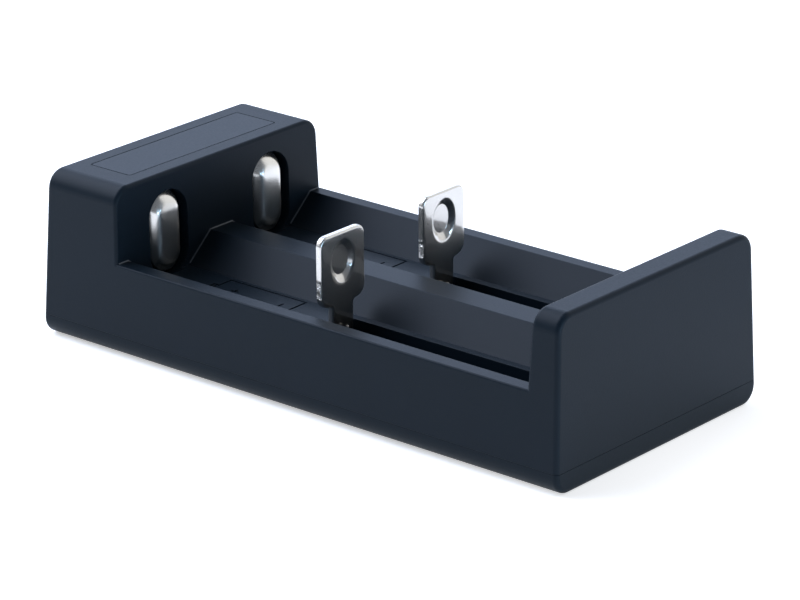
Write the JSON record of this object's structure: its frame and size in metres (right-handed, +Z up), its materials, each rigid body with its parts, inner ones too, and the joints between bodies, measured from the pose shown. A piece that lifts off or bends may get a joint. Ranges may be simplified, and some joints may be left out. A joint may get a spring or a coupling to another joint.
{
  "type": "lithium-ion battery charger",
  "caption": "Low moulded charger for loose cylindrical cells: a tray with troughs between a tall head and a foot wall, fixed plated contacts, and sprung sliding contacts in slots.",
  "frame": {"origin": "middle of the underside", "axes": "+X from the head with the fixed contacts to the foot wall, +Y across the bays, +Z up"},
  "size_m": [0.106, 0.0498, 0.028],
  "materials": {
    "case_plastic": "moulded, fine matt grain, dark slate blue",
    "window_plastic": "smooth smoked plastic, light shows through",
    "contact_nickel": "bright nickel plate on steel",
    "spring_steel": "bright nickel-plated spring wire",
    "carriage_plastic": "moulded low-friction black plastic",
    "board_laminate": "green solder mask on glass laminate",
    "component_black": "moulded black package",
    "component_tan": "fired ceramic",
    "light_lens": "cast clear resin in a white cup",
    "guide_clear": "clear moulded plastic",
    "inlet_steel": "drawn stainless shell",
    "screw_steel": "black plated steel"
  },
  "bodies": {
    "case": {"upper_shell": "case_plastic", "bottom_cover": "case_plastic", "indicator_window": "window_plastic", "light_guide": "guide_clear", "circuit_board": "board_laminate", "ceramic_capacitors": "component_tan", "chip_resistors": "component_black", "inlet_shell": "inlet_steel", "inlet_insert": "component_black", "cover_screws": "screw_steel", "board_screws": "screw_steel", "near_positive_contact": "contact_nickel", "near_spring": "spring_steel", "near_spring_terminal": "contact_nickel", "near_charge_chip": "component_black", "near_indicator_light": "light_lens", "far_positive_contact": "contact_nickel", "far_spring": "spring_steel", "far_spring_terminal": "contact_nickel", "far_charge_chip": "component_black", "far_indicator_light": "light_lens"},
    "near_slider": {"near_sliding_contact": "contact_nickel", "near_carriage": "carriage_plastic"},
    "far_slider": {"far_sliding_contact": "contact_nickel", "far_carriage": "carriage_plastic"}
  },
  "joints": [
    {"name": "near_slide", "type": "slide", "parent": "case", "child": "near_slider", "axis": [1, 0, 0], "range_m": [0, 0.03899], "stiffness_N_per_m": 60, "springref_m": -0.012, "deforming": ["near_spring"]},
    {"name": "far_slide", "type": "slide", "parent": "case", "child": "far_slider", "axis": [1, 0, 0], "range_m": [0, 0.03899], "stiffness_N_per_m": 60, "springref_m": -0.012, "deforming": ["far_spring"]}
  ]
}
